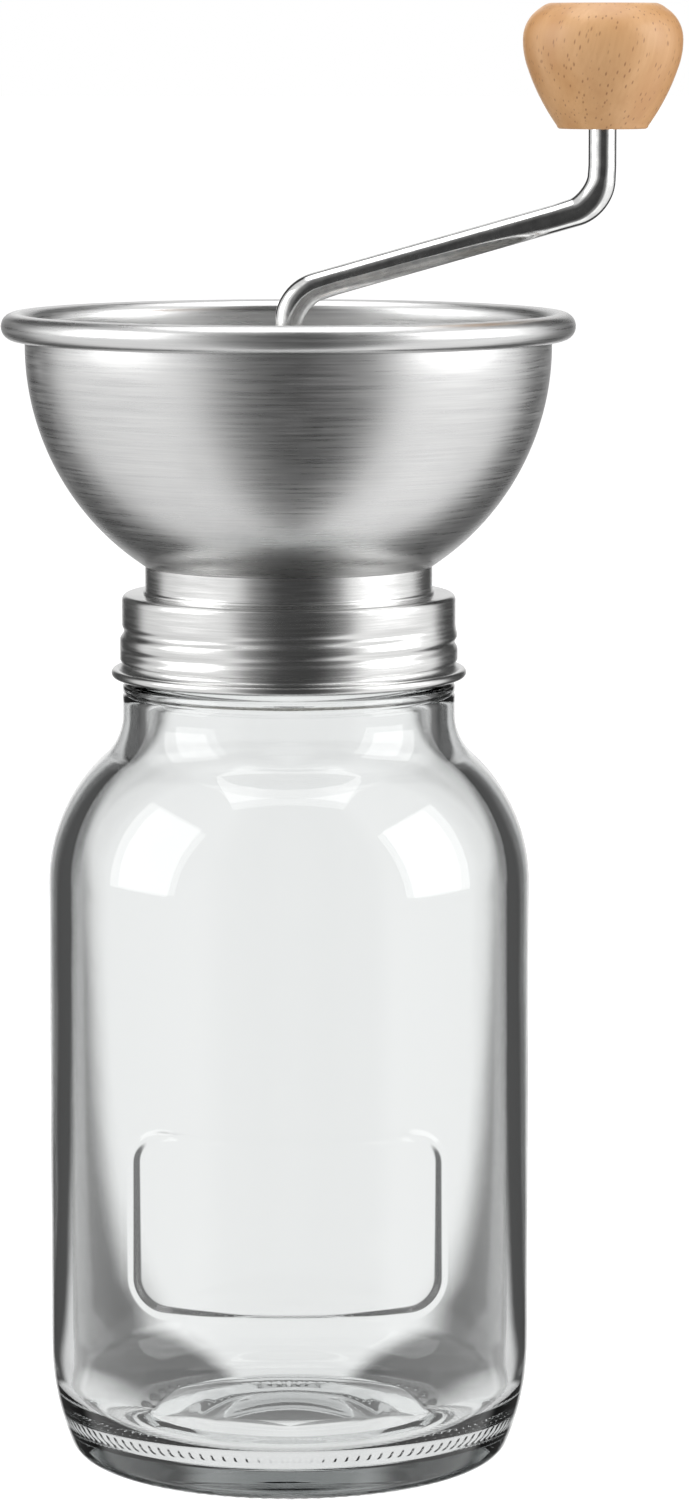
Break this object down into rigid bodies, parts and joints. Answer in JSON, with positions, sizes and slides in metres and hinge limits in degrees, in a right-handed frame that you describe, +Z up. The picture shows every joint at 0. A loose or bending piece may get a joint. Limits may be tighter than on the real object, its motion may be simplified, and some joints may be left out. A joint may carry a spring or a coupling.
{
  "type": "hand crank coffee grinder",
  "caption": "Hand crank coffee grinder: open steel hopper bowl and burr head on a screw collar over a glass storage jar, with a bent rod crank and a wooden knob.",
  "frame": {"origin": "centre of the jar's foot ring, on the plane that the grinder stands on", "axes": "+Z up along the jar, bowl and shaft axis; -Y is the front, which carries the raised label frame; +X is the side that the crank points to at rest"},
  "size_m": [0.1434, 0.1212, 0.3099],
  "materials": {
    "clear_glass": "clear, smooth",
    "silicone": "soft matt seal",
    "satin_steel": "satin",
    "brushed_steel": "brushed round the axis",
    "polished_steel": "fine satin",
    "turned_steel": "turned",
    "spring_steel": "bright drawn",
    "screw_steel": "plain",
    "white_nylon": "moulded, matt",
    "ceramic": "fired, matt; stands for ceramic",
    "bronze": "sintered or turned",
    "beech": "turned and oiled"
  },
  "bodies": {
    "jar": {"glass_jar": "clear_glass"},
    "seal": {"mouth_seal": "silicone"},
    "head": {"screw_collar": "satin_steel", "neck_ring": "satin_steel", "hopper_bowl": "brushed_steel", "burr_housing": "white_nylon", "burr_snap_ring": "spring_steel", "outer_burr": "ceramic", "tie_screws": "screw_steel", "bearing_bridge": "satin_steel", "shaft_bush": "bronze"},
    "crank": {"drive_shaft": "turned_steel", "thrust_washer": "turned_steel", "spring_washer": "turned_steel", "burr_spring": "spring_steel", "end_clip": "spring_steel", "crank_socket": "turned_steel", "grub_screw": "screw_steel", "crank_arm": "polished_steel", "knob_washer": "turned_steel", "knob_screw": "screw_steel"},
    "knob": {"crank_knob": "beech", "knob_bush": "bronze"},
    "burr": {"inner_burr": "ceramic", "burr_driver": "turned_steel"},
    "dial": {"adjusting_dial": "white_nylon", "dial_insert": "bronze"}
  },
  "joints": [
    {"name": "head_lift", "type": "slide", "parent": "jar", "child": "seal", "axis": [0, 0, 1], "range_m": [0, 0.00537]},
    {"name": "head_unscrew", "type": "hinge", "parent": "seal", "child": "head", "pos_m": [0, 0, 0.1852], "axis": [0, 0, 1], "range_deg": [0, 450]},
    {"name": "crank_turn", "type": "hinge", "parent": "head", "child": "crank", "pos_m": [0, 0, 0.2], "axis": [0, 0, 1], "continuous": true},
    {"name": "knob_spin", "type": "hinge", "parent": "crank", "child": "knob", "pos_m": [0.066, 0, 0.296], "axis": [0, 0, 1], "continuous": true},
    {"name": "burr_shift", "type": "slide", "parent": "crank", "child": "burr", "axis": [0, 0, 1], "range_m": [-0.00125, 0.00025], "deforming": ["burr_spring"]},
    {"name": "dial_turn", "type": "hinge", "parent": "burr", "child": "dial", "pos_m": [0, 0, 0.168], "axis": [0, 0, 1], "range_deg": [-450, 90]}
  ],
  "couplings": [
    {"joint": "head_lift", "follows": "head_unscrew", "m_per_rad": 0.00068437},
    {"joint": "dial_turn", "follows": "burr_shift", "rad_per_m": 6283.2}
  ]
}
